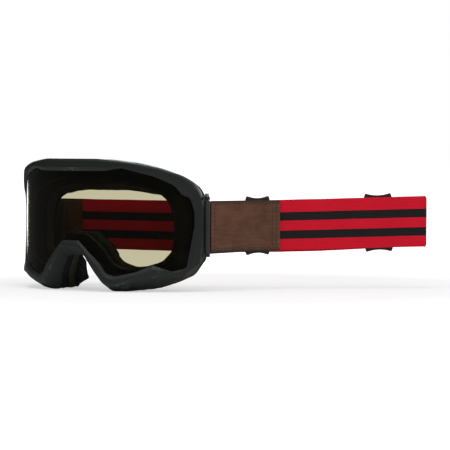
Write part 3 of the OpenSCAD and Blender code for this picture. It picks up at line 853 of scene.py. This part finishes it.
elastic, elastic_shader, elastic_place = new_finish(
    "woven_elastic", Specular_IOR_Level=0.1, Sheen_Weight=0.02, Sheen_Roughness=0.4)
weave_place = elastic_place.node("Attribute", out="Vector", attribute_name="strap_place")
run = weave_place.node("SeparateXYZ", {"Vector": weave_place})
level = weave_place.node("SeparateXYZ", {"Vector": weave_place}, out=1)
ragged = run.node("CombineXYZ", {"X": run * 1.6}).cloud(1.0, 1.0)
from_top = STRAP_HEIGHT_MM / 2 - level + (ragged - 0.5) * RAGGED_MM


def below(edge_mm):
    """0 above the edge of a stripe and 1 below it."""
    return from_top.step(edge_mm - STRIPE_EDGE_MM, edge_mm + STRIPE_EDGE_MM)


first_top, first_end, second_top, second_end = STRIPES_MM
black_part = below(first_top) - below(first_end) + below(second_top) - below(second_end)

# Ribs run along the band, and the picks of the weave cross them.
ribs = (level * (2 * math.pi / RIB_MM)).math("SINE") * 0.5 + 0.5
picks = (run * (2 * math.pi / PICK_MM) + (ribs - 0.5) * 3.0).math("SINE") * 0.5 + 0.5
fuzz = elastic_place.cloud(1800.0, 3.0, 0.7)
tone = elastic_place.cloud(45.0, 3.0)
weave = ribs * 0.55 + picks * 0.25 + fuzz * 0.2
red = (weave * 0.6 + tone * 0.4).step(0.2, 0.8).blend(RED_DARK, RED_PALE)
black = weave.step(0.2, 0.9).blend(BLACK_DARK, BLACK_PALE)
feed(elastic_shader,
     Base_Color=black_part.blend(red, black),
     Roughness=0.68 + fuzz * 0.16,
     Normal=relief(weave, 0.16 * MM, 0.6))


def elastic_shape(distance, across):
    """The elastic waves a little, is creased where it leaves the rear slider, and is folded
    with rounded corners."""
    crease = math.exp(-((distance - CREASE_MM) / CREASE_WIDE_MM) ** 2)
    over = math.exp(-((distance - REAR_SLIDER_MM) / OVER_SLIDER_MM) ** 4)
    wave = noise.noise(Vector((distance / WAVE_LONG_MM[0], across * 1.3, 4.0)))
    pulled = PULLED_MM * noise.noise(Vector((distance / WAVE_LONG_MM[1], across * 0.6, 9.0)))
    folded = math.exp(-((distance - fold_middle) / FOLD_LONG_MM) ** 2)
    corner = max(0.0, (abs(across) - 0.5 + FOLD_CORNER_SHARE) / FOLD_CORNER_SHARE) ** 2
    off = (ELASTIC_OFF_MM + OVER_SLIDER_HIGH_MM * over - CREASE_DEEP_MM * crease
           + WAVE_MM * wave
           - folded * (FOLD_CORNER_MM * corner + FOLD_DEEP_MM + FOLD_WAVE_MM * wave))
    return off, across * STRAP_HEIGHT_MM + pulled


def return_shape(distance, across):
    """The adjusting length lies straight, and moves away from the line behind the tab's end."""
    start, end = RETURN_TURN_MM
    share = min(max((distance - start) / (end - start), 0), 1)
    off = RETURN_OFF_MM[0] + (RETURN_OFF_MM[1] - RETURN_OFF_MM[0]) * share
    return off, across * RETURN_HEIGHT_MM


far_elastic_end = STRAP_TOTAL_MM - ELASTIC_START_MM
near_elastic = ply("elastic_near_half", ELASTIC_START_MM, FOLD_JOIN_MM, ELASTIC_MM, 1.0,
                   elastic_shape)
far_elastic = ply("elastic_far_half", FOLD_JOIN_MM, far_elastic_end, ELASTIC_MM, 1.0,
                  elastic_shape)
return_ply = ply("elastic_return", RETURN_START_MM, RETURN_END_MM, ELASTIC_MM, 1.0,
                 return_shape)
for band in (near_elastic, far_elastic, return_ply):
    round_edges(band, ELASTIC_EDGE_MM, angle=PLY_EDGE_ANGLE)
fit(near_elastic, elastic, None, "elastic_striped", "strap_elastic")
fit(far_elastic, elastic, None, "elastic_striped", "strap_elastic")
fit(return_ply, elastic, None, "elastic_striped", "strap_return")
start, end = (strap_point(distance, 0, 0) for distance in NEAR_BEND_MM)
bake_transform(near_elastic)
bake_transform(return_ply)
start, end = (strap_point(STRAP_TOTAL_MM - distance, 0, 0) for distance in FAR_BEND_MM)
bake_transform(far_elastic)

# The sliders. Each is a flat dark brown moulding with two slots for the elastic and an ear
# at each corner, which stands out beyond the strap's edge.
SLOT_HALF_MM = 20.2
SLOT_CLOSED_MM = 1.3
SLOT_NEAR_MM = 0.6
SLIDER_EDGE_MM = 0.45
SLIDER_BROWN = colour(0.020, 0.012, 0.0085)
SLIDER_WORN = colour(0.034, 0.021, 0.015)

slider_finish = plastic("slider_brown", SLIDER_BROWN, SLIDER_WORN, 0.5, worn=0.3)
for node, name, body in (("front_slider", "slider_by_the_tab", "outrigger_right_arm"),
                         ("rear_slider", "slider_by_the_fold", "rear_slider_body")):
    slider = take_blank(node, name)
    low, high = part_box(node)
    for vertex in slider.data.vertices:
        height = vertex.co.z - (low.z + high.z) / 2
        if abs(abs(height) / MM - SLOT_HALF_MM) < SLOT_NEAR_MM:
            vertex.co.z -= math.copysign(SLOT_CLOSED_MM * MM, height)
    round_edges(slider, SLIDER_EDGE_MM, segments=3)
    fit(slider, slider_finish, body, "slider_plastic", node)

# The ground and the light. The goggles stand on a white table with a white backdrop behind
# it, under soft lamps. The room in front is dim, so the lens stays dark.
ROOM_DIM = 0.04
BACKDROP = 2.2
BEHIND = (0.52, 0.56)
SOFT_LIGHT = 0.42
TABLE_SIZE = 12.0
TABLE_WHITE = colour(0.82, 0.82, 0.82)
TABLE_GLOW = 1.4
GLOW_SHARE = 0.38
TABLE_NEAR = (0.2, 0.4)
TABLE_FADES = (0.2, 0.42)
PURE_WHITE = colour(1, 1, 1)


def sight(start):
    """Tells how a light path comes here: in plain sight, also through the lens, or mirrored."""
    bounced = start.node("LightPath", out="Diffuse Depth").math("MINIMUM", 1.0)
    mirrored = start.node("LightPath", out="Glossy Depth").math("MINIMUM", 1.0) * (1 - bounced)
    through = start.node("LightPath", out="Is Transmission Ray") * (1 - bounced) * (1 - mirrored)
    seen = start.node("LightPath", out="Is Camera Ray")
    return (seen + through).math("MINIMUM", 1.0), mirrored


bpy.ops.object.select_all(action="DESELECT")
bpy.ops.mesh.primitive_plane_add(size=TABLE_SIZE, location=(0, 0, 0))
ground = bpy.context.object
ground.name = "table_top"
white = bpy.data.materials.new("white_table")
white.use_nodes = True
tree = white.node_tree
tree.nodes.clear()
start = Grain(tree)
table_place = start.node("TexCoord", out="Object")
matt = start.node("BsdfDiffuse", {"Color": TABLE_WHITE})
shown = start.node("Emission", {"Color": PURE_WHITE, "Strength": TABLE_GLOW})
seen, mirrored = sight(start)
from_goggles = table_place.node("VectorMath", {0: table_place, 1: (0.0, 0.0, 0.0)},
                                out="Value", operation="DISTANCE")
table_y = table_place.node("SeparateXYZ", {"Vector": table_place}, out=1)
behind = (table_y / from_goggles).step(*BEHIND)
near = 1 - from_goggles.step(*TABLE_NEAR)
share = GLOW_SHARE + (1 - GLOW_SHARE) * from_goggles.step(*TABLE_FADES)
glow = start.node("MixShader", {0: seen * share, 1: matt, 2: shown})
room = behind * (BACKDROP - ROOM_DIM) + ROOM_DIM
image = start.node("Emission", {"Color": PURE_WHITE, "Strength": room})
glow = start.node("MixShader", {0: mirrored * (1 - near), 1: glow, 2: image})
start.node("OutputMaterial", {"Surface": glow})
ground.data.materials.append(white)

world = bpy.data.worlds.new("studio")
bpy.context.scene.world = world
world.use_nodes = True
tree = world.node_tree
tree.nodes.clear()
start = Grain(tree)
direction = start.node("TexCoord", out="Generated")
behind = direction.node("SeparateXYZ", {"Vector": direction}, out=1)
seen, mirrored = sight(start)
room = behind.step(*BEHIND) * (BACKDROP - ROOM_DIM) + ROOM_DIM
strength = seen + (1 - seen) * (mirrored * room + (1 - mirrored) * SOFT_LIGHT)
start.node("OutputWorld", {
    "Surface": start.node("Background", {"Color": PURE_WHITE, "Strength": strength})})


LAMP_AIM = Vector((0, 0, 0.05))


def lamp(name, place, size, power):
    """A square soft lamp, aimed at the goggles."""
    bpy.ops.object.light_add(type="AREA", location=place)
    made = bpy.context.object
    made.name = name
    made.rotation_euler = (LAMP_AIM - Vector(place)).to_track_quat("-Z", "Y").to_euler()
    made.data.size = size
    made.data.energy = power
    made.visible_camera = False


lamp("lamp_above", (0.15, -0.5, 1.45), 1.1, 9.0)
lamp("lamp_right", (1.25, -0.75, 0.95), 0.8, 4.8)
lamp("lamp_left", (-1.1, -0.9, 0.9), 0.8, 1.6)
